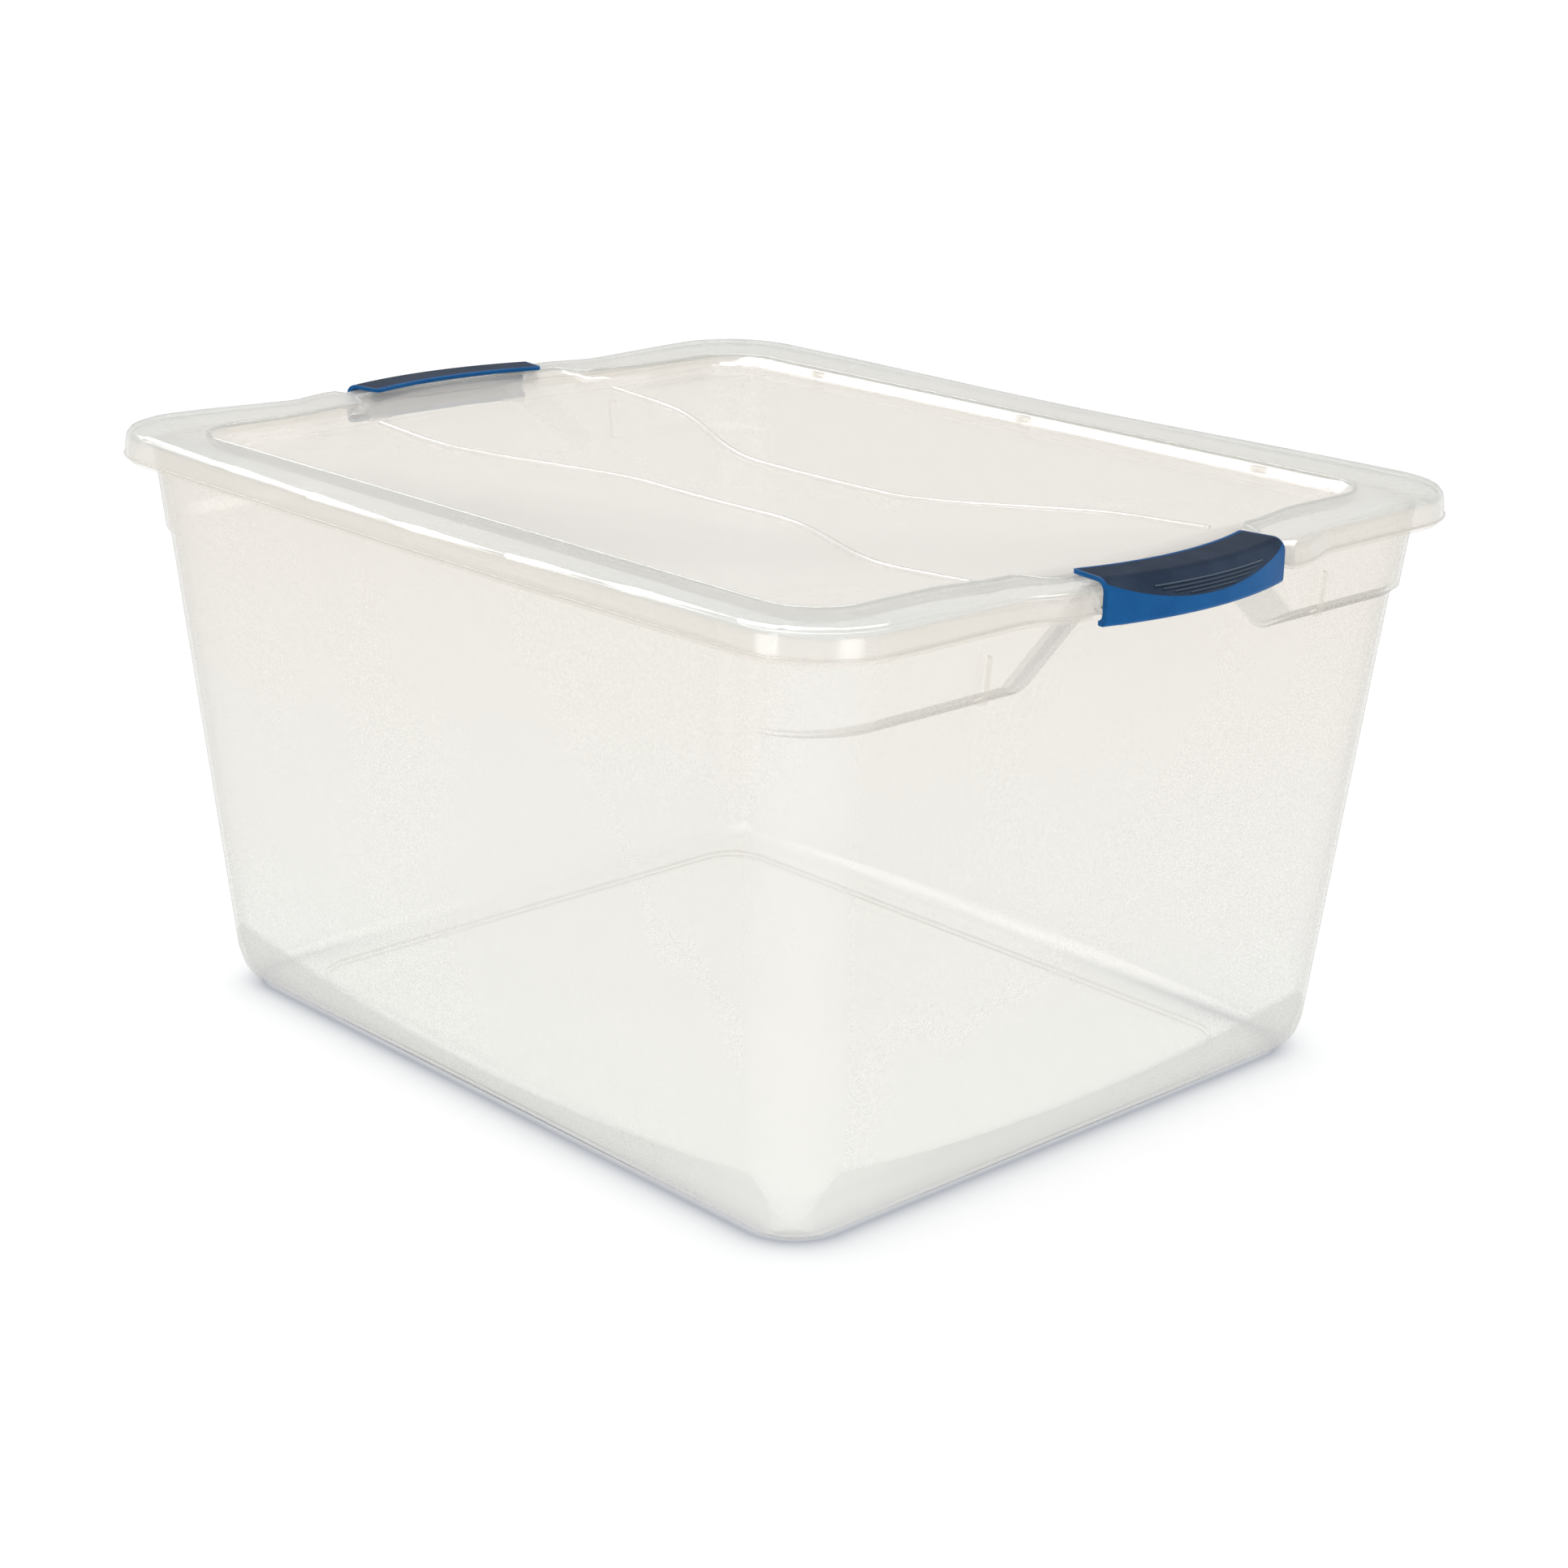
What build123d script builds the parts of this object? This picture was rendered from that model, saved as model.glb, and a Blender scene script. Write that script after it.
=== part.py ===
from build123d import *
from math import asin, cos, degrees, radians, sin, tan
import os

os.makedirs("parts", exist_ok=True)

# ---- overall size, millimetres ------------------------------------------------
HEIGHT = 311.0        # floor to the top face of the closed latches
LATCH_REACH = 298.5   # middle of the box to the crown of a latch grip
WALL = 2.0            # moulded wall of the tub and the lid

# ---- tub ----------------------------------------------------------------------
BASE_X = 234.5        # half length of the walls carried down to the floor plane
BASE_Y = 196.0        # half width, same place
BASE_R = 32.0         # corner radius at the floor
DRAFT_X = 0.097       # outward lean of the short end walls, mm per mm of height
DRAFT_Y = 0.083       # outward lean of the long walls
TOP_R = 40.0          # corner radius at the rim
FOOT_R = 20.0         # rounded bottom edge
LEDGE_Z = 257.0       # under side of the step that widens the short ends
LEDGE_OUT = 6.5       # how far the step stands out
LEDGE_SLOPE = 1.3     # its face leans out by this much per mm of height
RIM_Z = 303.0         # top edge of the tub wall, inside the lid
FLANGE_Z = 294.5      # under side of the flange the lid sits on
FLANGE_T = 2.5
FLANGE_IN = 2.3       # flange edge sits this far inside the lid skirt
FLOOR_X = 199.0       # raised floor panel
FLOOR_Y = 161.0
FLOOR_R = 24.0
FLOOR_LIFT = 2.5
BAND_SLOPE = 16.0     # lean of the base band below the arched line, degrees
BAND_MID_X = 5.1      # depth of the band at the middle of the short end
BAND_END_X = 8.0      # and near its corners
BAND_MID_Y = 4.4      # the same for the long side
BAND_END_Y = 8.4
BAND_CORNER = 12.0    # radius where the bowed band faces meet
BAND_TOP = 60.0       # the leaning band faces are carried up to here
STUB_Y = 119.0        # short upright ribs beside each hand hold
STUB = (5.0, 5.0, 23.0)

# ---- hand hold under each latch --------------------------------------------------
HOLD_LOW = 83.0       # half width of the hand hold at the ledge
HOLD_LEAN = 1.19      # its sides close in by this much per mm of height
HOLD_FACET = 4.0      # mm that each slanted side facet runs back per mm it stands out
HOLD_R = 20.0         # rounding where the ledge turns up into the facet

# ---- lid ----------------------------------------------------------------------
LID_X = 282.0         # half length of the skirt near the corners
LID_Y = 233.0         # half width of the skirt at the corners
LID_R = 50.0
LID_BOW = 3.5         # the long sides bow outward by this much
BAND_Z = 308.4        # flat band around the panel
SKIRT_Z = 297.3       # lower edge of the skirt, just clear of the tub flange
END_BULGE = 8.5       # the short ends swell outward beside the latch
BULGE_FROM = 112.0    # half width where the swelling starts
BULGE_TO = 76.0       # and where it is complete
SEAT_Y = 68.5         # half width of the seat the latch drops into
SEAT_X = 1.3          # seat face beyond the plain end, at the seat's corners
SEAT_CROWN = 11.5     # and at its middle
PANEL_X = 241.0       # panel opening
PANEL_Y = 197.0
PANEL_R = 28.0
PANEL_Z = 300.8       # edge of the dished panel
DISH = 10.0           # how far the middle of the panel dips
DISH_X = 232.0
DISH_Y = 185.0
DISH_GRID = (240.0, 190.0)     # half size of the grid of points its surface is made from
DISH_STEP = 20.0
RIB_R = 1.7           # two long S-shaped beads on the panel
RIB_END_Y = 84.0
RIB_MID_Y = 40.0
RIB_HALF = 226.0
RIB_FLAT = 45.0       # the beads run straight this far each side of the middle
RIB_TURN = 140.0      # and spread over this length
RIB_STEPS = 24
EDGE_R = 4.6          # rounding between skirt and band
EDGE_LEAN = 0.8       # the skirt closes in by this much towards the top
LUG_X = (-168.0, 0.0, 168.0)   # small lugs on the long sides of the recess
LUG = (9.0, 4.0, 3.6)

# ---- latch --------------------------------------------------------------------
LATCH_FACE = LATCH_REACH - 0.5   # outer face, the grip ridges stand 0.5 proud
LATCH_BOW_R = 218.0   # plan radius of the latch
LATCH_HALF = 63.0     # half length, measured at the outer face
END_SLANT = 0.158     # how far each end leans in per millimetre toward the lid
LATCH_T = 2.7
HOOK_T = 2.0          # top flange, which hooks over the lid
LIP_T = 2.2           # lower flange
LATCH_LOW = 289.2
LATCH_TOP_IN = 25.5   # depth of the hooked top flange
LATCH_LOW_IN = 11.0   # depth of the lower flange
PIN_X = 286.0         # hinge line
PIN_Z = 291.3
PIN_R = 1.7
PIN_FIT = 0.06        # running clearance of the pin in its eyes
BARREL_R = 2.1
BARREL_HALF = 46.0
EYE_R = 3.6            # hinge eyes under the tub flange
EYE_T = 4.0
EYE_Y = BARREL_HALF + 0.4 + EYE_T / 2
WEB_X = 258.0         # the eyes are braced back to here, inside the tub wall
TRIM = 30.0           # cutter that clears the latch around the barrel and the eyes
GRIP_T = 0.9          # soft grip moulded into the latch
GRIP_LOW = 297.5      # lowest point of the grip on the outer face
GRIP_ARC_R = 177.0
GRIP_RIM = 1.0        # bare edge left around the grip on the top flange
RIDGE_R = 0.65
RIDGE_Z = (305.3, 303.4, 301.5, 299.6)
RIDGE_HALF = (38.0, 33.0, 26.0, 16.0)


def rounded(half_x, half_y, radius, z):
    return Pos(0, 0, z) * RectangleRounded(2 * half_x, 2 * half_y, radius)


def stack(sections):
    """Straight-sided solid through a pile of matching outlines."""
    body = loft([sections[0], sections[1]], ruled=True)
    for low, high in zip(sections[1:], sections[2:]):
        body += loft([low, high], ruled=True)
    return body


def corner_radius(z):
    return BASE_R + (TOP_R - BASE_R) * z / RIM_Z


def base_block(inset):
    """Block whose leaning, bowed sides cut the arched base band."""
    x_mid = BASE_X - BAND_MID_X - inset
    x_end = BASE_X - BAND_END_X - inset
    y_mid = BASE_Y - BAND_MID_Y - inset
    y_end = BASE_Y - BAND_END_Y - inset
    with BuildSketch() as sk:
        with BuildLine():
            for s in (1, -1):
                ThreePointArc((s * x_end, s * y_end), (s * x_mid, 0), (s * x_end, -s * y_end))
                ThreePointArc((s * x_end, -s * y_end), (0, -s * y_mid), (-s * x_end, -s * y_end))
        make_face()
        fillet(sk.vertices(), BAND_CORNER)
    grow = BAND_TOP * tan(radians(BAND_SLOPE))
    big = offset(sk.sketch, amount=grow, kind=Kind.INTERSECTION)
    return loft([sk.sketch, Pos(0, 0, BAND_TOP) * big], ruled=True)


def tub_form(inset, floor):
    """The tub as a solid block; inset shrinks it for the inside surface."""
    def wall(z, step=0.0):
        x = BASE_X + DRAFT_X * z + step - inset
        y = BASE_Y + DRAFT_Y * z - inset
        return rounded(x, y, corner_radius(z) + step * 0.6 - inset, z)

    low = LEDGE_Z + inset * 0.8
    top = RIM_Z + (1.0 if inset else 0.0)
    body = loft([wall(floor), wall(low)], ruled=True)
    body = fillet(body.faces().sort_by(Axis.Z)[0].edges(), FOOT_R - inset)
    flare = LEDGE_SLOPE * (top - low)
    spread = rounded(BASE_X + DRAFT_X * low - inset + flare, BASE_Y + DRAFT_Y * low - inset + flare,
                     corner_radius(low) - inset + flare, top)
    upper = loft([wall(low, LEDGE_OUT), wall(top, LEDGE_OUT)], ruled=True)
    return body, upper & loft([wall(low), spread], ruled=True)


def hand_hold(side, inset):
    """Wedge that clears the step below a latch, with slanted facets and rounded lower corners."""
    slope = Vector(side * DRAFT_X, 0, 1)

    def outline(step):
        low = LEDGE_Z + inset * 0.8
        half = HOLD_LOW + HOLD_FACET * step + inset * 0.6
        top = RIM_Z + 2.0 - low
        start = Vector(side * (BASE_X + DRAFT_X * low - inset + step), 0, low)
        flat = Plane(origin=start, x_dir=(0, 1, 0), z_dir=Vector(0, 1, 0).cross(slope))
        inner = half - HOLD_LEAN * top
        wide = half + 2 * HOLD_R
        outer = [(wide, 0), (wide, -HOLD_R), (-wide, -HOLD_R), (-wide, 0)]
        with BuildSketch() as sk:
            with BuildLine():
                Polyline((-half, 0), (-inner, top), (inner, top), (half, 0), *outer, close=True)
            make_face()
            turns = [v for v in sk.vertices() if abs(v.Y) + abs(abs(v.X) - half) < 0.01]
            fillet(turns, HOLD_R)
        return flat * sk.sketch

    return loft([outline(0.0), outline(LEDGE_OUT + 4.0)], ruled=True)


def tub_body(inset, floor):
    lower, upper = tub_form(inset, floor)
    above = Pos(0, 0, BAND_TOP + HEIGHT / 2) * Box(3 * BASE_X, 3 * BASE_Y, HEIGHT)
    lower = lower & (base_block(inset * 1.04) + above)
    for side in (1, -1):
        upper -= hand_hold(side, inset)
    return lower + upper


def rim_face(inset, z):
    """Outline shared by the lid skirt and the tub flange, with both latch seats."""
    a = LID_X - inset
    b = LID_Y - inset
    seat_y = SEAT_Y + inset
    with BuildSketch(Plane.XY.offset(z)) as sk:
        with BuildLine():
            for s in (1, -1):
                down = (0, -s, 0)
                Line((s * a, s * b), (s * a, s * BULGE_FROM))
                Spline((s * a, s * BULGE_FROM), (s * (a + END_BULGE), s * BULGE_TO),
                       tangents=(down, down))
                Line((s * (a + END_BULGE), s * BULGE_TO), (s * (a + END_BULGE), s * seat_y))
                Line((s * (a + END_BULGE), s * seat_y), (s * (a + SEAT_X), s * (seat_y - 2.5)))
                ThreePointArc((s * (a + SEAT_X), s * (seat_y - 2.5)),
                              (s * (a + SEAT_CROWN), 0),
                              (s * (a + SEAT_X), -s * (seat_y - 2.5)))
                Line((s * (a + SEAT_X), -s * (seat_y - 2.5)), (s * (a + END_BULGE), -s * seat_y))
                Line((s * (a + END_BULGE), -s * seat_y), (s * (a + END_BULGE), -s * BULGE_TO))
                Spline((s * (a + END_BULGE), -s * BULGE_TO), (s * a, -s * BULGE_FROM),
                       tangents=(down, down))
                Line((s * a, -s * BULGE_FROM), (s * a, -s * b))
                ThreePointArc((s * a, -s * b), (0, -s * (b + LID_BOW)), (-s * a, -s * b))
        make_face()
        corners = [v for v in sk.vertices() if abs(abs(v.X) - a) + abs(abs(v.Y) - b) < 0.01]
        fillet(corners, LID_R - inset)
    return sk.sketch


# half length, half width, corner radius, then how far the end swells at three stations
OPENING = (PANEL_X, PANEL_Y, PANEL_R, 6.5, 25.0, 28.5)
FOLD = (PANEL_X - 3.5, PANEL_Y - 4.5, PANEL_R - 4.0, 6.0, 8.0, 11.0)
PANEL_EDGE = (PANEL_X - 13.0, PANEL_Y - 14.0, PANEL_R - 8.0, 1.0, 2.0, 3.0)


def panel_face(shape, grow, z):
    a, b, radius, swell, shoulder, crown = shape
    a += grow
    b += grow
    with BuildSketch(Plane.XY.offset(z)) as sk:
        with BuildLine():
            for s in (1, -1):
                down = (0, -s, 0)
                spots = [(a, 130.0), (a + swell, 86.0), (a + shoulder, 65.0 + grow)]
                Line((s * a, s * b), (s * a, s * spots[0][1]))
                for p, q in zip(spots, spots[1:]):
                    Spline((s * p[0], s * p[1]), (s * q[0], s * q[1]), tangents=(down, down))
                ThreePointArc((s * spots[2][0], s * spots[2][1]), (s * (a + crown), 0),
                              (s * spots[2][0], -s * spots[2][1]))
                back = spots[::-1]
                for p, q in zip(back, back[1:]):
                    Spline((s * p[0], -s * p[1]), (s * q[0], -s * q[1]), tangents=(down, down))
                Line((s * a, -s * spots[0][1]), (s * a, -s * b))
                Line((s * a, -s * b), (-s * a, -s * b))
        make_face()
        corners = [v for v in sk.vertices() if abs(abs(v.X) - a) + abs(abs(v.Y) - b) < 0.01]
        fillet(corners, radius + grow)
    return sk.sketch


def dish(x, y):
    """Height of the panel's top face."""
    return PANEL_Z - DISH * (1 - (x / DISH_X) ** 2) * (1 - (y / DISH_Y) ** 2)


def stations(half):
    return [-half + DISH_STEP * i for i in range(round(2 * half / DISH_STEP) + 1)]


def rib_y(x):
    """S-shaped run of a bead: wide apart at the latches, closer in the middle."""
    t = min(max((abs(x) - RIB_FLAT) / RIB_TURN, 0.0), 1.0)
    return RIB_MID_Y + (RIB_END_Y - RIB_MID_Y) * t * t * (3 - 2 * t)


def build_tub():
    outer = tub_body(0.0, 0.0)
    inner = tub_body(WALL, WALL + 0.2)
    flange = extrude(rim_face(FLANGE_IN, FLANGE_Z), amount=FLANGE_T)
    tub = outer + flange
    for side in (1, -1):
        for y in (-STUB_Y, STUB_Y):
            z = LEDGE_Z + LEDGE_OUT / LEDGE_SLOPE + STUB[2] / 2 - 2.0
            x = BASE_X + DRAFT_X * z + LEDGE_OUT + 0.4
            stub = Box(*STUB)
            stub = fillet(stub.edges().filter_by(Axis.X).group_by(Axis.Z)[-1], STUB[1] / 2 - 0.1)
            tub += Pos(side * x, y, z) * Rot(0, side * degrees(DRAFT_X), 0) * stub
        for y in (-EYE_Y, EYE_Y):
            eye = Pos(side * PIN_X, y, PIN_Z) * Rot(90, 0, 0) * Cylinder(EYE_R, EYE_T)
            rise = FLANGE_Z + 1.0 - PIN_Z
            eye += Pos(side * PIN_X, y, PIN_Z + rise / 2) * Box(2 * EYE_R, EYE_T, rise)
            web = PIN_X - WEB_X
            eye += Pos(side * (PIN_X - web / 2), y, FLANGE_Z - 2.0) * Box(web, EYE_T, 5.0)
            eye -= Pos(side * PIN_X, y, PIN_Z) * Rot(90, 0, 0) * Cylinder(PIN_R + PIN_FIT, 2 * EYE_T)
            tub += eye
    tub -= inner
    tub -= extrude(rounded(FLOOR_X, FLOOR_Y, FLOOR_R, 0), amount=FLOOR_LIFT, taper=30)
    tub += extrude(rounded(FLOOR_X + 1, FLOOR_Y + 1, FLOOR_R, WALL), amount=FLOOR_LIFT + 0.2, taper=30)
    return tub


def build_lid():
    skirt = [rim_face(0.0, SKIRT_Z)]
    cavity = [rim_face(WALL, SKIRT_Z - 1.0)]
    for k in range(4):
        t = radians(30 * k)
        centre = EDGE_LEAN + EDGE_R
        for pile, r in ((skirt, EDGE_R), (cavity, EDGE_R - WALL)):
            pile.append(rim_face(centre - r * cos(t), BAND_Z - EDGE_R + r * sin(t)))
    lid = stack(skirt) - stack(cavity)
    lid += stack([panel_face(PANEL_EDGE, 1.2, PANEL_Z - WALL),
                  panel_face(FOLD, WALL, PANEL_Z + 0.4),
                  panel_face(OPENING, WALL, BAND_Z - WALL - 0.2),
                  panel_face(OPENING, WALL, BAND_Z - 1.0)])
    lid -= stack([panel_face(PANEL_EDGE, 0.0, PANEL_Z),
                  panel_face(FOLD, 0.0, PANEL_Z + 2.0),
                  panel_face(OPENING, 0.0, BAND_Z - 1.3),
                  panel_face(OPENING, 0.4, BAND_Z - 0.4),
                  panel_face(OPENING, 1.3, BAND_Z + 0.01)])
    lid -= extrude(panel_face(PANEL_EDGE, 0.0, PANEL_Z - WALL - 1), amount=WALL + 2)
    grid = [[Vector(x, y, dish(x, y)) for y in stations(DISH_GRID[1])] for x in stations(DISH_GRID[0])]
    top = Face.make_surface_from_array_of_points(grid)
    plate = Solid.extrude(top, Vector(0, 0, -WALL))
    lid += extrude(panel_face(PANEL_EDGE, 0.6, 280), amount=40) & plate
    run = [(-RIB_HALF + 2 * RIB_HALF * i / RIB_STEPS) for i in range(RIB_STEPS + 1)]
    for s in (1, -1):
        path = Spline([Vector(x, s * rib_y(x), dish(x, rib_y(x)) + 0.1) for x in run])
        start = Plane(origin=path @ 0, z_dir=path % 0)
        lid += sweep(start * Circle(RIB_R), path=path)
        for x in LUG_X:
            lid += Pos(x, s * (PANEL_Y - 2.2), PANEL_Z + 4.0) * Box(*LUG)
    return lid


def latch_section(inset):
    """C-shaped section of the latch in the end's middle plane."""
    face = LATCH_FACE - inset
    top = HEIGHT - inset
    with BuildSketch(Plane.XZ) as sk:
        with BuildLine():
            Polyline((face, LATCH_LOW), (face, top), (LATCH_FACE - LATCH_TOP_IN, top),
                     (LATCH_FACE - LATCH_TOP_IN, HEIGHT - HOOK_T),
                     (LATCH_FACE - LATCH_T, HEIGHT - HOOK_T),
                     (LATCH_FACE - LATCH_T, LATCH_LOW + LIP_T),
                     (LATCH_FACE - LATCH_LOW_IN, LATCH_LOW + LIP_T),
                     (LATCH_FACE - LATCH_LOW_IN, LATCH_LOW), close=True)
        make_face()

        def corner(x, z):
            return [v for v in sk.vertices() if abs(v.X - x) + abs(v.Y - z) < 0.01]

        fillet(corner(face, top), 7.0 - inset)
        fillet(corner(LATCH_FACE - LATCH_T, HEIGHT - HOOK_T), 4.6)
        fillet(corner(LATCH_FACE - LATCH_T, LATCH_LOW + LIP_T), 3.2)
        if inset == 0:
            fillet(corner(face, LATCH_LOW), 2.6)
            fillet(corner(LATCH_FACE - LATCH_TOP_IN, top), 1.0)
    return sk.sketch


BOW_X = LATCH_FACE - LATCH_BOW_R
SWEEP = degrees(asin(LATCH_HALF / LATCH_BOW_R))


def around(section, half_angle):
    turned = revolve(section, axis=Axis((BOW_X, 0, 0), (0, 0, 1)), revolution_arc=2 * half_angle)
    return Pos(BOW_X, 0, 0) * Rot(0, 0, -half_angle) * Pos(-BOW_X, 0, 0) * turned


def end_point(r, half):
    """Point where the leaning end of the latch, seen from above, crosses the arc of radius r."""
    x = (LATCH_BOW_R**2 - half**2) ** 0.5
    run = x + END_SLANT * half
    slope = 1 + END_SLANT**2
    t = ((run**2 - slope * (LATCH_BOW_R**2 - r**2)) ** 0.5 - run) / slope
    return BOW_X + x + t, half + END_SLANT * t


def plan_block(inner, outer, half, radius):
    """Curved strip seen from above, extruded through the latch's height."""
    with BuildSketch(Plane.XY.offset(LATCH_LOW - 5)) as sk:
        with BuildLine():
            ends = {}
            for name, r in (("in", inner), ("out", outer)):
                x, y = end_point(r, half)
                ends[name, 1] = (x, y)
                ends[name, -1] = (x, -y)
            ThreePointArc(ends["in", -1], (BOW_X + inner, 0), ends["in", 1])
            Line(ends["in", 1], ends["out", 1])
            ThreePointArc(ends["out", 1], (BOW_X + outer, 0), ends["out", -1])
            Line(ends["out", -1], ends["in", -1])
        make_face()
        fillet(sk.vertices(), radius)
    return extrude(sk.sketch, amount=HEIGHT - LATCH_LOW + 10)


def build_latch():
    full = around(latch_section(0.0), SWEEP + 3)
    full = full & plan_block(LATCH_BOW_R - LATCH_TOP_IN, LATCH_BOW_R + 1, LATCH_HALF, 2.5)
    skin = full - around(latch_section(GRIP_T), SWEEP + 4)
    arc = Pos(LATCH_FACE, 0, GRIP_LOW + GRIP_ARC_R) * Rot(0, 90, 0) * Cylinder(GRIP_ARC_R, 100)
    window = plan_block(LATCH_BOW_R - LATCH_TOP_IN + GRIP_RIM, LATCH_BOW_R + 2, LATCH_HALF - GRIP_RIM, 2.0)
    grip = skin & arc & window
    body = full - grip
    body -= Pos(PIN_X - BARREL_R - 0.5 - TRIM / 2, 0, PIN_Z) * Box(TRIM, 4 * LATCH_HALF, 11)
    for y in (-EYE_Y, EYE_Y):
        body -= Pos(PIN_X + EYE_R + 0.9 - TRIM / 2, y, PIN_Z) * Box(TRIM, EYE_T + 1.6, 11)
    web = LATCH_FACE - LATCH_LOW_IN + 3.0 - PIN_X
    body += Pos(PIN_X + web / 2, 0, LATCH_LOW + LIP_T / 2) * Box(web, 2 * BARREL_HALF - 0.8, LIP_T)
    body += Pos(PIN_X, 0, PIN_Z) * Rot(90, 0, 0) * Cylinder(BARREL_R, 2 * BARREL_HALF - 0.8)
    body += Pos(PIN_X, 0, PIN_Z) * Rot(90, 0, 0) * Cylinder(PIN_R, 2 * (EYE_Y + EYE_T / 2 + 0.6))
    for z, half in zip(RIDGE_Z, RIDGE_HALF):
        bead = Plane.XZ * Pos(LATCH_REACH - RIDGE_R, z) * Circle(RIDGE_R)
        grip += around(bead, degrees(asin(half / LATCH_BOW_R)))
    return body, grip


latch_body, latch_grip = build_latch()
parts = {
    "tub": build_tub(),
    "lid": build_lid(),
    "latch_right_body": latch_body,
    "latch_right_grip": latch_grip,
    "latch_left_body": Rot(0, 0, 180) * latch_body,
    "latch_left_grip": Rot(0, 0, 180) * latch_grip,
}
for name, shape in parts.items():
    box = shape.bounding_box()
    print(name, len(shape.solids()), shape.is_valid, round(shape.volume / 1000, 1),
          [round(v, 2) for v in (*box.min, *box.max)])
    export_step(shape, f"parts/{name}.step")
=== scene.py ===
"""Looks of the latch-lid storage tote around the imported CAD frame."""

import math

import bmesh
import bpy
from mathutils import Matrix, Vector


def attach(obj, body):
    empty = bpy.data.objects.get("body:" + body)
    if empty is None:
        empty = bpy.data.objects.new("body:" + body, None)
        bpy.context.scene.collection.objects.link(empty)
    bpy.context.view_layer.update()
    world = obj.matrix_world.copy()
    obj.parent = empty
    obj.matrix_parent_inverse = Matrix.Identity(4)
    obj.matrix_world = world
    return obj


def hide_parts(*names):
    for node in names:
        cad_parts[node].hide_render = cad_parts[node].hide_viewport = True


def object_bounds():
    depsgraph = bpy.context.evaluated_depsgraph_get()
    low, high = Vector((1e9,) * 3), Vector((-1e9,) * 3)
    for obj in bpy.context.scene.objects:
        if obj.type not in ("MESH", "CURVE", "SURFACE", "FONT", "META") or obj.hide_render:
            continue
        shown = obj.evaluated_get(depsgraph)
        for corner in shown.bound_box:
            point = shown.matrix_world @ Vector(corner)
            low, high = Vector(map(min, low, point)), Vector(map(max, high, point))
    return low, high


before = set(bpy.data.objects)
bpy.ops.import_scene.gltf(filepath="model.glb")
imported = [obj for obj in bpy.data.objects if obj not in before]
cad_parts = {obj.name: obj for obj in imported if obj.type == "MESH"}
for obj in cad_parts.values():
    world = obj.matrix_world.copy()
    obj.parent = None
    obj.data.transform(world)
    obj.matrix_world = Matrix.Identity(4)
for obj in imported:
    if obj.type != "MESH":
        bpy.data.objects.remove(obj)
cad_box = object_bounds()
LOW, HIGH = cad_box
CENTRE = (LOW + HIGH) / 2

# ---- view ---------------------------------------------------------------------
AIM = Vector((0.0367, 0.0, -0.0158))     # point looked at, from the middle of the box
AZIMUTH = math.radians(46.26)
ELEVATION = math.radians(18.29)
DISTANCE = 1.5827
ROLL = math.radians(1.23)
LENS = 68.67
SHIFT = (-0.0171, -0.0006)

# ---- light --------------------------------------------------------------------
WORLD = 0.97
FLOOR_WHITE = 0.60
FLOOR_GLOW = 0.52
FLOOR_TONE = (0.98, 0.99, 1.0)
FLOOR_REACH = 40.0
DIM_SIDE = 0.16          # the room is this much darker towards the right end

# Contact shade, painted on the floor around the tub's foot on its front and right sides only.
FOOT = (0.226, 0.188)    # half size of the foot
FOOT_R = 0.03            # its corner radius
FOOT_FADE = 0.008        # distance over which the shade dies away
FOOT_SHADE = (0.47, 0.49, 0.54)

# ---- places on the piece --------------------------------------------------------
BAND_Z = 0.3084          # top of the lid's band
SHADE_FADE_NEAR_CORNER = (0.33, 0.42)   # x - y, over which the painted shade on the base band weakens towards the near corner
RIDGE_TOP = 0.3063       # grip ridges lie below this
BOW_X = 0.080            # centre of the latch's bow
BLUE_EDGE = 0.1950       # the grip is blue nearer to that centre than this
BLUE = (0.010, 0.085, 0.26)


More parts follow.
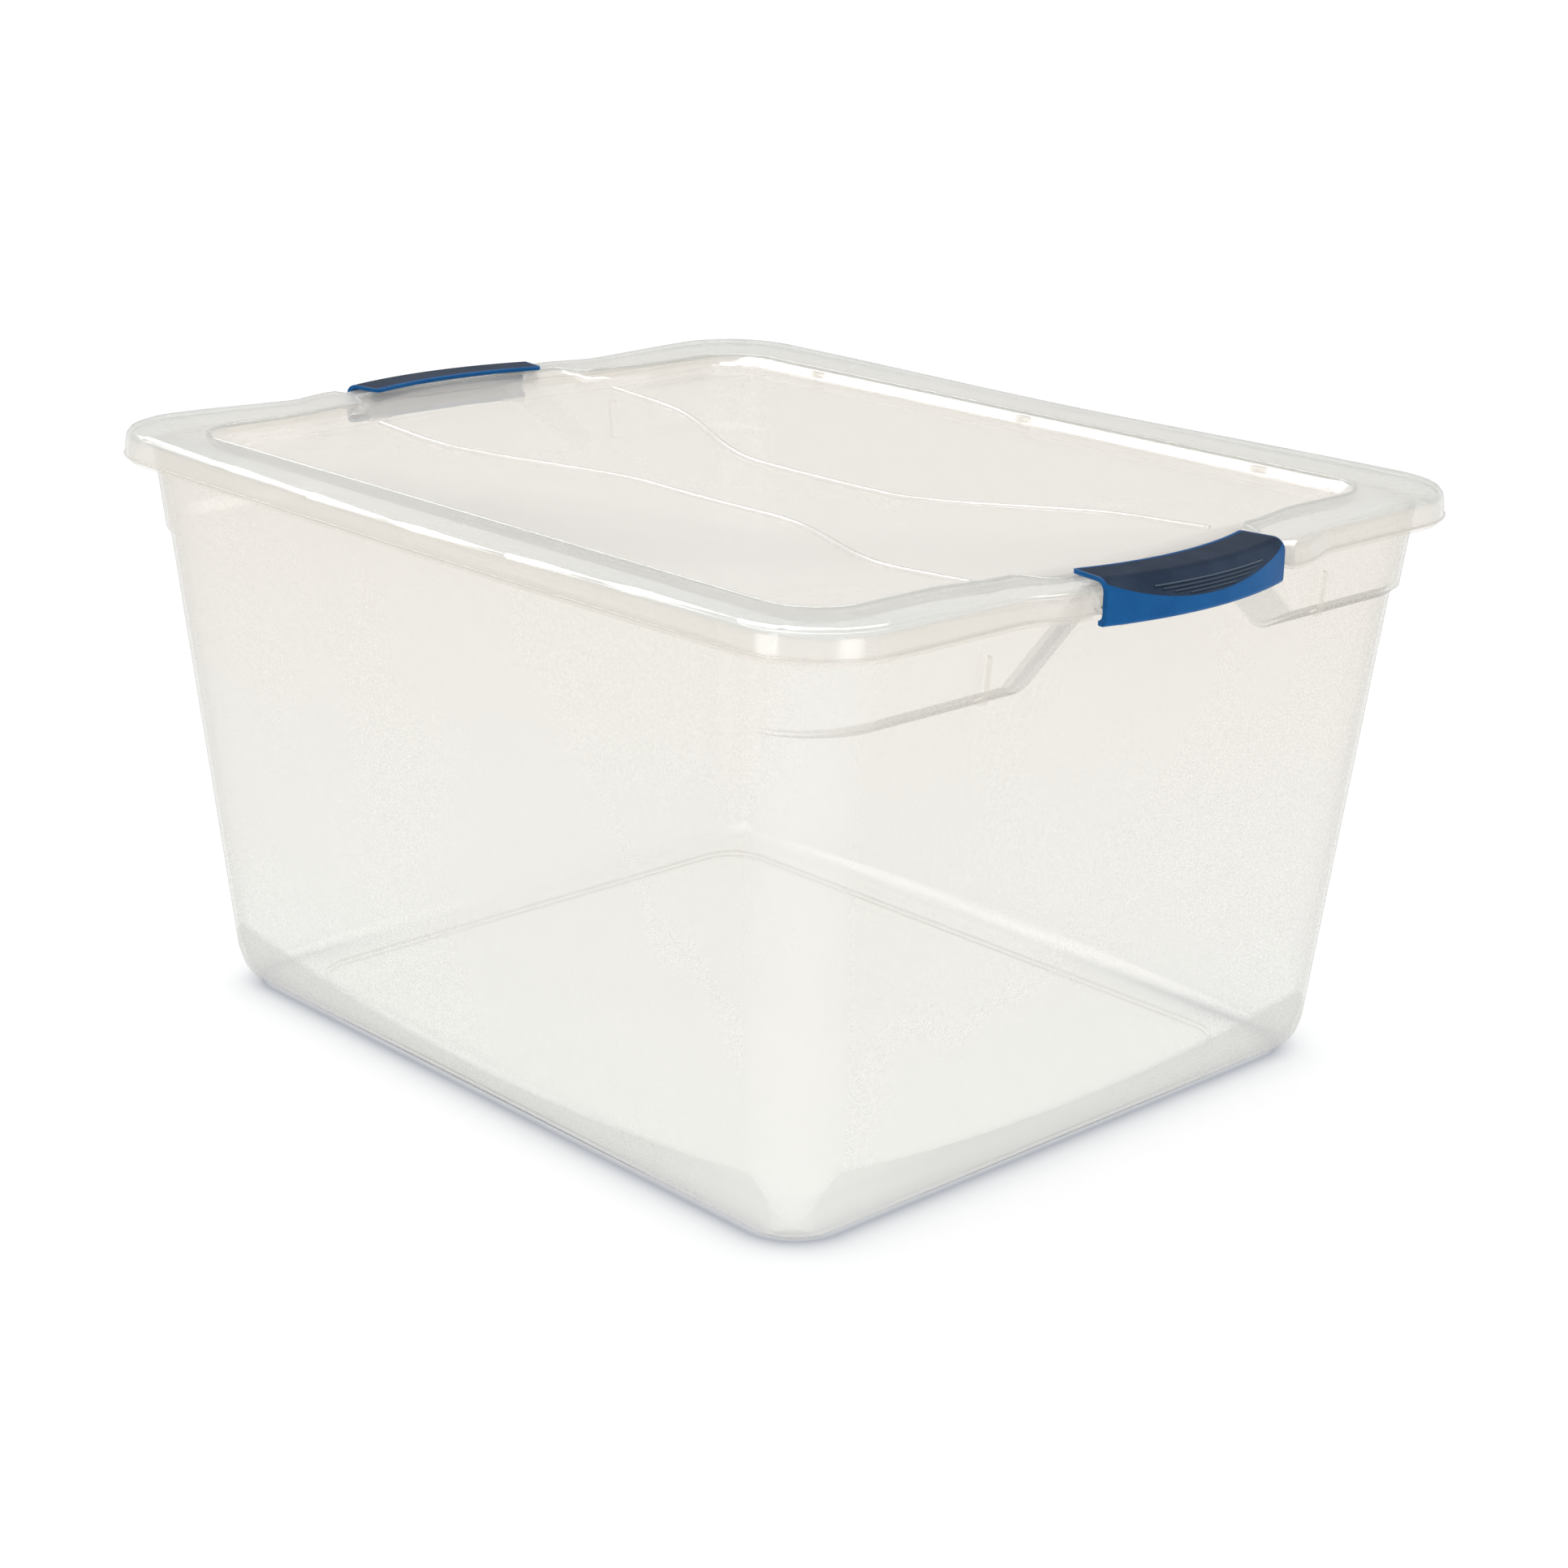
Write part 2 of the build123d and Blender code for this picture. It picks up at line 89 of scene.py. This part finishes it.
# ---- node helpers ---------------------------------------------------------------
class Graph:
    """A material's node tree, with short calls for the nodes it uses."""

    def __init__(self, name):
        self.material = bpy.data.materials.new(name)
        self.material.use_nodes = True
        self.tree = self.material.node_tree
        self.tree.nodes.clear()
        self.coords = self.add("ShaderNodeTexCoord").outputs["Object"]

    def add(self, kind, **values):
        node = self.tree.nodes.new(kind)
        for key, value in values.items():
            if key in node.bl_rna.properties:
                setattr(node, key, value)
            else:
                self.put(node.inputs[key.replace("_", " ")], value)
        return node

    def put(self, socket, value):
        if isinstance(value, bpy.types.NodeSocket):
            self.tree.links.new(value, socket)
        else:
            socket.default_value = value

    def stretched(self, scale):
        return self.add("ShaderNodeMapping", Vector=self.coords, Scale=scale).outputs[0]

    def noise(self, scale, detail=2.0, rough=0.5, vector=None):
        node = self.add("ShaderNodeTexNoise", Scale=scale, Detail=detail, Roughness=rough)
        self.put(node.inputs["Vector"], vector or self.coords)
        return node.outputs[0]

    def faces(self):
        """Which way the surface faces, in the piece's own frame."""
        turned = self.add("ShaderNodeTexCoord").outputs["Normal"]
        return self.add("ShaderNodeSeparateXYZ", Vector=turned).outputs

    def speckle(self, scale):
        node = self.add("ShaderNodeTexVoronoi", Scale=scale)
        self.put(node.inputs["Vector"], self.coords)
        return node.outputs["Distance"]

    def ranged(self, value, low, high, to_low, to_high):
        node = self.add("ShaderNodeMapRange")
        for index, v in enumerate((value, low, high, to_low, to_high)):
            self.put(node.inputs[index], v)
        return node.outputs[0]

    def maths(self, operation, a, b):
        node = self.add("ShaderNodeMath", operation=operation)
        self.put(node.inputs[0], a)
        self.put(node.inputs[1], b)
        return node.outputs[0]

    def size(self, value):
        return self.maths("ABSOLUTE", value, 0.0)

    def length(self, a, b):
        squares = [self.maths("POWER", value, 2.0) for value in (a, b)]
        return self.maths("POWER", self.maths("ADD", *squares), 0.5)

    def colours(self, value, low, high):
        node = self.add("ShaderNodeMix", data_type="RGBA")
        self.put(node.inputs[0], value)
        for index, colour in ((6, low), (7, high)):
            self.put(node.inputs[index], (*colour, 1) if isinstance(colour, tuple) else colour)
        return node.outputs[2]

    def tinted(self, share, colour, tint):
        """The colour, multiplied by the tint where share is 1."""
        node = self.add("ShaderNodeMix", data_type="RGBA", blend_type="MULTIPLY")
        self.put(node.inputs[0], share)
        self.put(node.inputs[6], colour)
        node.inputs[7].default_value = (*tint, 1)
        return node.outputs[2]

    def bump(self, height, strength, distance, under=None):
        node = self.add("ShaderNodeBump", Height=height, Strength=strength, Distance=distance)
        if under is not None:
            self.put(node.inputs["Normal"], under)
        return node.outputs[0]

    def mix(self, share, a, b):
        node = self.add("ShaderNodeMixShader")
        self.put(node.inputs[0], share)
        self.put(node.inputs[1], a)
        self.put(node.inputs[2], b)
        return node.outputs[0]

    def finish(self, shader):
        out = self.add("ShaderNodeOutputMaterial")
        self.tree.links.new(shader, out.inputs["Surface"])
        return self.material


# ---- materials ------------------------------------------------------------------
def frosted(name, haze, level, gloss, rough, band_shade=(1, 1, 1)):
    """Milky moulded polypropylene: a clear wall with fine haze in it.
    Haze throws cool light back and passes warm light on. A slanting look goes through more of the wall.
    Level faces show less of it, rounded corners more, and it gets whiter towards the floor. Rounded
    corners are also painted whiter as a highlight. Painted shade darkens faces that lean downwards, the
    lid's band, and walls seen edge-on."""
    g = Graph(name)
    cloud = g.noise(6.0, 2.0, 0.5)
    flow = g.noise(9.0, 2.0, 0.5, g.stretched((1.0, 1.0, 0.4)))
    grain = g.noise(700.0, 2.0, 0.6)
    place = g.add("ShaderNodeSeparateXYZ", Vector=g.coords).outputs
    faces = g.faces()
    low = g.ranged(place["Z"], 0.02, 0.25, 1.0, 0.0)
    # Painted shade: the top of the lid's band is tinted cooler and darker by the tint passed in.
    on_band = g.ranged(place["Z"], BAND_Z - 0.0022, BAND_Z - 0.0008, 0.0, 1.0)
    # Rounded vertical corners get more haze and a whiter colour: a painted highlight.
    turned = g.size(g.maths("MULTIPLY", faces["X"], faces["Y"]))
    corner = g.ranged(turned, 0.0, 0.5, 0.0, 1.0)
    flat = g.ranged(g.size(faces["Z"]), 0.85, 0.97, 1.0, level)
    # Painted shade on faces that lean downwards, such as the base band, weaker towards the near corner;
    # faces looking straight down are spared.
    near = g.ranged(g.maths("SUBTRACT", place["X"], place["Y"]), *SHADE_FADE_NEAR_CORNER, 1.0, 0.45)
    lean = g.maths("MULTIPLY", g.ranged(faces["Z"], -0.16, -0.3, 0.0, 0.68), near)
    under = g.maths("ADD", lean, g.ranged(faces["Z"], -0.4, -0.7, 0.0, 0.3))
    under = g.maths("MULTIPLY", under, g.ranged(faces["Z"], -0.97, -0.9, 0.0, 1.0))

    matt = g.maths("ADD", g.ranged(cloud, 0.3, 0.7, rough * 0.92, rough * 1.08),
                   g.ranged(grain, 0.3, 0.7, -0.02, 0.02))
    relief = g.bump(g.noise(420.0, 2.0), 0.03, 0.0002)
    facing = g.add("ShaderNodeLayerWeight", Blend=0.5).outputs["Facing"]
    path = g.maths("DIVIDE", 1.0, g.maths("MAXIMUM", g.maths("SUBTRACT", 1.0, facing), 0.14))
    base = g.maths("ADD", g.ranged(cloud, 0.3, 0.7, haze * 0.95, haze * 1.05),
                   g.maths("ADD", g.ranged(flow, 0.3, 0.7, -0.004, 0.004),
                           g.ranged(grain, 0.3, 0.7, -0.002, 0.002)))
    base = g.maths("MULTIPLY", base, flat)
    base = g.maths("ADD", base, g.maths("MULTIPLY", under, 0.16))
    base = g.maths("ADD", base, g.maths("MULTIPLY", corner, 0.11))
    solid = g.maths("SUBTRACT", 1.0, g.maths("POWER", g.maths("SUBTRACT", 1.0, base), path))
    # Painted shade: colours darken where the wall is seen edge-on, for dark edge lines.
    edge = g.ranged(facing, 0.8, 0.98, 0.0, 1.0)

    # Applies the painted shade: on down-facing faces, on the lid's band and where the wall is seen
    # edge-on.
    def with_painted_shade(colour):
        shaded = g.tinted(under, colour, (0.68, 0.67, 0.66))
        return g.tinted(edge, g.tinted(on_band, shaded, band_shade), (0.62, 0.61, 0.60))

    cool = g.colours(flow, (0.86, 0.865, 0.855), (0.90, 0.90, 0.89))
    cool = g.colours(low, cool, (0.93, 0.95, 0.95))
    # Whiter at rounded corners: a painted highlight.
    cool = g.colours(corner, cool, (0.985, 0.99, 0.985))
    face = g.add("ShaderNodeBsdfPrincipled", IOR=1.49)
    g.put(face.inputs["Base Color"], with_painted_shade(cool))
    g.put(face.inputs["Roughness"], matt)
    g.put(face.inputs["Normal"], relief)
    warm = g.colours(cloud, (0.91, 0.88, 0.835), (0.94, 0.915, 0.875))
    warm = g.colours(low, warm, (0.94, 0.945, 0.93))
    # Painted highlight: whiter at rounded corners.
    warm = g.colours(corner, warm, (0.985, 0.98, 0.97))
    lit = g.add("ShaderNodeBsdfTranslucent", Normal=relief)
    g.put(lit.inputs["Color"], with_painted_shade(warm))
    body = g.mix(0.5, face.outputs[0], lit.outputs[0])

    slant = g.maths("MULTIPLY", g.maths("POWER", facing, 3.5), flat)
    thin = g.colours(low, (0.98, 0.968, 0.95), (0.985, 0.985, 0.977))
    thin = g.colours(slant, thin, (0.74, 0.725, 0.70))
    clear = g.add("ShaderNodeBsdfTransparent")
    # The see-through colour gets the same painted shade on the band and where the wall is seen edge-on.
    g.put(clear.inputs["Color"], g.tinted(edge, g.tinted(on_band, thin, band_shade), (0.5, 0.5, 0.5)))
    see = g.mix(solid, clear.outputs[0], body)
    shine = g.add("ShaderNodeBsdfGlossy", Color=(1, 1, 1, 1), Roughness=matt, Normal=relief)
    sheen = g.ranged(g.maths("POWER", facing, 5.0), 0.0, 1.0, gloss, 0.26)
    return g.finish(g.mix(sheen, see, shine.outputs[0]))


def latch_plastic(name):
    """Blue moulded plastic with a fine satin texture."""
    g = Graph(name)
    cloud = g.noise(60.0, 3.0)
    spark = g.speckle(1900.0)
    fine = g.noise(2600.0, 2.0, 0.7)
    share = g.maths("ADD", g.ranged(cloud, 0.3, 0.7, 0.1, 0.6),
                    g.ranged(fine, 0.35, 0.7, -0.15, 0.35))
    colour = g.colours(share, (0.008, 0.082, 0.250), (0.014, 0.130, 0.360))
    face = g.add("ShaderNodeBsdfPrincipled", IOR=1.5)
    g.put(face.inputs["Base Color"], colour)
    g.put(face.inputs["Roughness"], g.ranged(fine, 0.3, 0.7, 0.27, 0.42))
    g.put(face.inputs["Normal"], g.bump(spark, 0.22, 0.00012, g.bump(cloud, 0.1, 0.0006)))
    face.inputs["Specular IOR Level"].default_value = 0.05
    return g.finish(face.outputs[0])


def grip_rubber(name):
    """Dark soft-touch rubber, a little greyer where hands rub it.
    The ridges carry painted shade on their lower sides and a painted highlight on their upper sides,
    right for a closed latch, and its blue edge is painted too. Upward-looking faces get painted shade."""
    g = Graph(name)
    cloud = g.noise(45.0, 4.0)
    fine = g.noise(2200.0, 2.0, 0.7)
    rubbed = g.maths("MULTIPLY", g.ranged(cloud, 0.4, 0.7, 0.0, 1.0),
                     g.ranged(fine, 0.3, 0.7, 0.5, 1.0))
    colour = g.colours(rubbed, (0.030, 0.047, 0.080), (0.050, 0.072, 0.112))
    place = g.add("ShaderNodeSeparateXYZ", Vector=g.coords).outputs
    lean = g.faces()["Z"]
    # Painted shade: faces looking upwards, such as the grip's top, are darker.
    level = g.ranged(lean, 0.75, 0.97, 0.0, 1.0)
    colour = g.tinted(level, colour, (0.62, 0.66, 0.72))
    ridged = g.ranged(place["Z"], RIDGE_TOP - 0.0003, RIDGE_TOP, 1.0, 0.0)
    # Painted shade on the lower sides of the ridges and a painted highlight on their upper sides, right
    # only for a closed latch.
    painted_groove_shade = g.maths("MULTIPLY", ridged, g.ranged(lean, 0.0, -0.45, 0.0, 1.0))
    painted_crest_highlight = g.maths("MULTIPLY", ridged, g.ranged(lean, 0.3, 0.7, 0.0, 1.0))
    colour = g.tinted(painted_groove_shade, colour, (0.12, 0.16, 0.20))
    colour = g.colours(painted_crest_highlight, colour, (0.125, 0.155, 0.19))
    reach = g.length(g.maths("SUBTRACT", g.size(place["X"]), BOW_X), place["Y"])
    colour = g.colours(g.ranged(reach, BLUE_EDGE, BLUE_EDGE + 0.0003, 1.0, 0.0), colour, BLUE)
    face = g.add("ShaderNodeBsdfPrincipled", IOR=1.5)
    g.put(face.inputs["Base Color"], colour)
    g.put(face.inputs["Roughness"], g.ranged(fine, 0.3, 0.7, 0.36, 0.52))
    g.put(face.inputs["Normal"], g.bump(fine, 0.25, 0.00012))
    face.inputs["Specular IOR Level"].default_value = 0.01
    return g.finish(face.outputs[0])


# ---- lid, with its crowned band ---------------------------------------------------
CROWN = 0.0026           # the band stands this much higher at the corners
CROWN_X = 0.25           # full height from here on along the long sides
CROWN_Y = (0.084, 0.194)  # it climbs between these along the short ends
SKIRT_Z = 0.2973         # lower edge of the skirt
SKIRT_LOW = 0.0004       # the hem bead is centred this far above the skirt's edge
BRIM_SINK = 0.0003       # the brim bead is centred this far below the band
OPENING = (0.2425, 0.1985)   # half size of the opening in the band
OPENING_R = 0.029        # its corner radius
BAND_WIDE = 0.033
CUT_REACH = (0.275, 0.231)   # the band is cut into short lengths between these, along x and y
CUT = 0.022              # length of one cut
CUT_MARGIN = 0.006
SHARP = math.radians(38)


def ease(t):
    t = min(max(t, 0.0), 1.0)
    return t * t * (3 - 2 * t)


def crowned(point):
    """Where a point of the flat-banded lid lies once the band is crowned."""
    x, y, z = point
    across = max(abs(x) - OPENING[0] + OPENING_R, 0.0)
    along = max(abs(y) - OPENING[1] + OPENING_R, 0.0)
    out = ease((math.hypot(across, along) - OPENING_R) / BAND_WIDE)
    share = min(max((z - SKIRT_Z) / (BAND_Z - SKIRT_Z), 0.0), 1.0)
    rise = ease(abs(x) / CROWN_X) * ease((abs(y) - CROWN_Y[0]) / (CROWN_Y[1] - CROWN_Y[0]))
    return Vector((x, y, z + CROWN * rise * share * out))


def welded(node):
    """The node's mesh with its seams joined."""
    work = bmesh.new()
    work.from_mesh(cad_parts[node].data)
    bmesh.ops.remove_doubles(work, verts=work.verts, dist=1e-6)
    work.normal_update()
    return work


def edge_runs(work, level, outer):
    """Closed runs of points round a flat face at this height, either outside edges or inside ones."""
    nexts = {}
    for edge in work.edges:
        if len(edge.link_faces) != 2 or any(abs(v.co.z - level) > 2e-5 for v in edge.verts):
            continue
        flat = [f for f in edge.link_faces if abs(f.normal.z) > 0.9995]
        if len(flat) != 1:
            continue
        a, b = edge.verts
        nexts.setdefault(a, []).append(b)
        nexts.setdefault(b, []).append(a)
    runs = []
    left = set(nexts)
    while left:
        start = left.pop()
        run = [start]
        here = start
        while True:
            ahead = [v for v in nexts[here] if v in left]
            if not ahead:
                break
            here = ahead[0]
            left.discard(here)
            run.append(here)
        runs.append([v.co.copy() for v in run])
    runs = [run for run in runs if len(run) > 40]
    runs.sort(key=lambda run: max(v.x for v in run))
    return runs[-1] if outer else runs[0]


def crowned_lid():
    """The lid's mesh, its band cut into short lengths so that it can bend, then crowned."""
    work = welded("lid")
    for axis, reach in enumerate(CUT_REACH):
        count = round(2 * reach / CUT)
        for i in range(1, count):
            at = -reach + 2 * reach * i / count
            faces = [f for f in work.faces
                     if abs(f.calc_center_median().x) > OPENING[0] - CUT_MARGIN
                     or abs(f.calc_center_median().y) > OPENING[1] - CUT_MARGIN]
            near = [f for f in faces
                    if min(v.co[axis] for v in f.verts) < at < max(v.co[axis] for v in f.verts)]
            edges = {e for f in near for e in f.edges}
            verts = {v for f in near for v in f.verts}
            middle = Vector((0, 0, 0))
            middle[axis] = at
            way = Vector((0, 0, 0))
            way[axis] = 1
            bmesh.ops.bisect_plane(work, geom=[*verts, *edges, *near], dist=1e-6,
                                   plane_co=middle, plane_no=way)
    for vert in work.verts:
        vert.co = crowned(vert.co)
    bmesh.ops.triangulate(work, faces=[f for f in work.faces if len(f.verts) > 4])
    work.normal_update()
    for edge in work.edges:
        edge.smooth = edge.calc_face_angle(0.0) < SHARP
    for face in work.faces:
        face.smooth = True
    mesh = bpy.data.meshes.new("crowned_lid")
    work.to_mesh(mesh)
    work.free()
    made = bpy.data.objects.new("crowned_lid", mesh)
    bpy.context.collection.objects.link(made)
    even = made.modifiers.new("even_normals", "WEIGHTED_NORMAL")
    even.keep_sharp = True
    return made


def bead(name, run, radius, sides=8):
    """Slim rounded bead along a closed run of points."""
    points = []
    for p in run:
        if not points or (p - points[-1]).length > 4e-4:
            points.append(p)
    count = len(points)
    work = bmesh.new()
    rings = []
    for i, p in enumerate(points):
        ahead = (points[(i + 1) % count] - p).normalized()
        back = (p - points[i - 1]).normalized()
        way = (ahead + back).normalized()
        side = way.cross(Vector((0, 0, 1))).normalized()
        side *= 1 / max(way.dot(ahead), 0.7)
        up = Vector((0, 0, 1))
        rings.append([work.verts.new(p + side * (radius * math.cos(t)) + up * (radius * math.sin(t)))
                      for t in [2 * math.pi * k / sides for k in range(sides)]])
    for i in range(count):
        for k in range(sides):
            j = (i + 1) % count
            m = (k + 1) % sides
            work.faces.new((rings[i][k], rings[j][k], rings[j][m], rings[i][m])).smooth = True
    bmesh.ops.recalc_face_normals(work, faces=work.faces)
    mesh = bpy.data.meshes.new(name)
    work.to_mesh(mesh)
    work.free()
    made = bpy.data.objects.new(name, mesh)
    bpy.context.collection.objects.link(made)
    return made


def build_lid():
    flat = welded("lid")
    brim = [crowned(p) + Vector((0, 0, -BRIM_SINK)) for p in edge_runs(flat, BAND_Z, False)]
    hem = [p + Vector((0, 0, SKIRT_LOW)) for p in edge_runs(flat, SKIRT_Z, True)]
    flat.free()
    made = crowned_lid()
    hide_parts("lid")
    pieces = [made, bead("lid_brim", brim, 0.0009), bead("lid_hem", hem, 0.0006)]
    for piece in pieces:
        piece.data.materials.append(LID_PP)
        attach(piece, "lid")


def dress(names, material):
    for name in names:
        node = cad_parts[name]
        node.data.materials.clear()
        node.data.materials.append(material)


TUB_PP = frosted("tub_frosted", 0.13, 0.1, 0.045, 0.28)
# The lid's last colour is the painted shade on its band, cooler and a little darker.
LID_PP = frosted("lid_frosted", 0.18, 0.5, 0.065, 0.17, (0.955, 0.975, 0.985))
dress(("tub",), TUB_PP)
build_lid()
dress(("latch_right_body", "latch_left_body"), latch_plastic("latch_blue"))
dress(("latch_right_grip", "latch_left_grip"), grip_rubber("grip_navy"))


# ---- floor, light and camera ------------------------------------------------------
def build_floor():
    mesh = bpy.data.meshes.new("studio_floor")
    corners = [(x * FLOOR_REACH, y * FLOOR_REACH, 0) for x, y in ((-1, -1), (1, -1), (1, 1), (-1, 1))]
    mesh.from_pydata(corners, [], [(0, 1, 2, 3)])
    floor = bpy.data.objects.new("studio_floor", mesh)
    floor.location.z = LOW.z - 0.0002
    bpy.context.collection.objects.link(floor)
    g = Graph("studio_white")
    grain = g.noise(30.0, 3.0)
    paper = g.add("ShaderNodeBsdfDiffuse")
    place = g.add("ShaderNodeSeparateXYZ", Vector=g.coords).outputs
    beyond = [g.maths("MAXIMUM", g.maths("SUBTRACT", g.size(place[axis]), half - FOOT_R), 0.0)
              for axis, half in zip("XY", FOOT)]
    away = g.maths("SUBTRACT", g.length(*beyond), FOOT_R)
    shade = g.maths("POWER", 2.718, g.maths("DIVIDE", g.size(away), -FOOT_FADE))
    aside = g.maths("SUBTRACT", place["X"], place["Y"])
    shade = g.maths("MULTIPLY", shade, g.ranged(aside, -0.15, -0.02, 0.0, 1.0))
    white = g.colours(grain, (FLOOR_WHITE,) * 3, (FLOOR_WHITE + 0.01,) * 3)
    g.put(paper.inputs["Color"], g.tinted(shade, white, FOOT_SHADE))
    glow = g.add("ShaderNodeEmission", Strength=FLOOR_GLOW)
    g.put(glow.inputs["Color"], g.tinted(shade, g.colours(grain, FLOOR_TONE, FLOOR_TONE), FOOT_SHADE))
    both = g.add("ShaderNodeAddShader")
    g.put(both.inputs[0], paper.outputs[0])
    g.put(both.inputs[1], glow.outputs[0])
    mesh.materials.append(g.finish(both.outputs[0]))


def card(name, place, size, glow):
    """Bright panel of even glow that is seen only in reflections, aimed at the box."""
    lamp = bpy.data.lights.new(name, "AREA")
    lamp.shape = "RECTANGLE"
    lamp.size, lamp.size_y = size
    lamp.energy = glow * math.pi * size[0] * size[1]
    made = bpy.data.objects.new(name, lamp)
    made.location = CENTRE + Vector(place)
    made.rotation_mode = "QUATERNION"
    made.rotation_quaternion = (-Vector(place)).to_track_quat("-Z", "Y")
    made.visible_diffuse = False
    made.visible_transmission = False
    bpy.context.collection.objects.link(made)


def build_camera():
    back = Vector((math.sin(AZIMUTH) * math.cos(ELEVATION),
                   -math.cos(AZIMUTH) * math.cos(ELEVATION),
                   math.sin(ELEVATION)))
    side = Vector((0, 0, 1)).cross(back).normalized()
    up = back.cross(side)
    right = side * math.cos(ROLL) + up * math.sin(ROLL)
    top = up * math.cos(ROLL) - side * math.sin(ROLL)
    place = CENTRE + AIM + back * DISTANCE
    data = bpy.data.cameras.new("camera")
    data.lens = LENS
    data.sensor_width = 36.0
    data.shift_x, data.shift_y = SHIFT
    data.clip_start, data.clip_end = 0.05, 100.0
    camera = bpy.data.objects.new("camera", data)
    turn = Matrix((right, top, back)).transposed().to_4x4()
    camera.matrix_world = Matrix.Translation(place) @ turn
    bpy.context.collection.objects.link(camera)
    bpy.context.scene.camera = camera


def build_world():
    """Even white room, a little darker towards the right end."""
    world = bpy.data.worlds.new("studio")
    bpy.context.scene.world = world
    world.use_nodes = True
    tree = world.node_tree
    tree.nodes["Background"].inputs[0].default_value = (1, 1, 1, 1)
    turn = tree.nodes.new("ShaderNodeSeparateXYZ")
    tree.links.new(tree.nodes.new("ShaderNodeTexCoord").outputs["Generated"], turn.inputs[0])
    dim = tree.nodes.new("ShaderNodeMapRange")
    for index, value in enumerate((0.0, -0.6, 0.9, WORLD + 0.03, WORLD - DIM_SIDE)):
        dim.inputs[index].default_value = value
    tree.links.new(turn.outputs["X"], dim.inputs[0])
    tree.links.new(dim.outputs[0], tree.nodes["Background"].inputs[1])


build_floor()
build_camera()
card("overhead", (-0.5, 0.1, 1.9), (2.4, 1.4), 5.5)
card("left", (-1.9, 0.0, 1.6), (1.6, 1.0), 7.0)
card("front_strip", (0.1, -2.0, 0.05), (0.8, 1.2), 1.9)
card("end_strip", (2.0, -0.6, 0.05), (0.8, 1.2), 1.9)
build_world()

scene = bpy.context.scene
scene.view_settings.view_transform = "Standard"
scene.view_settings.look = "None"
scene.cycles.transparent_max_bounces = 32
scene.cycles.max_bounces = 14
scene.cycles.diffuse_bounces = 6
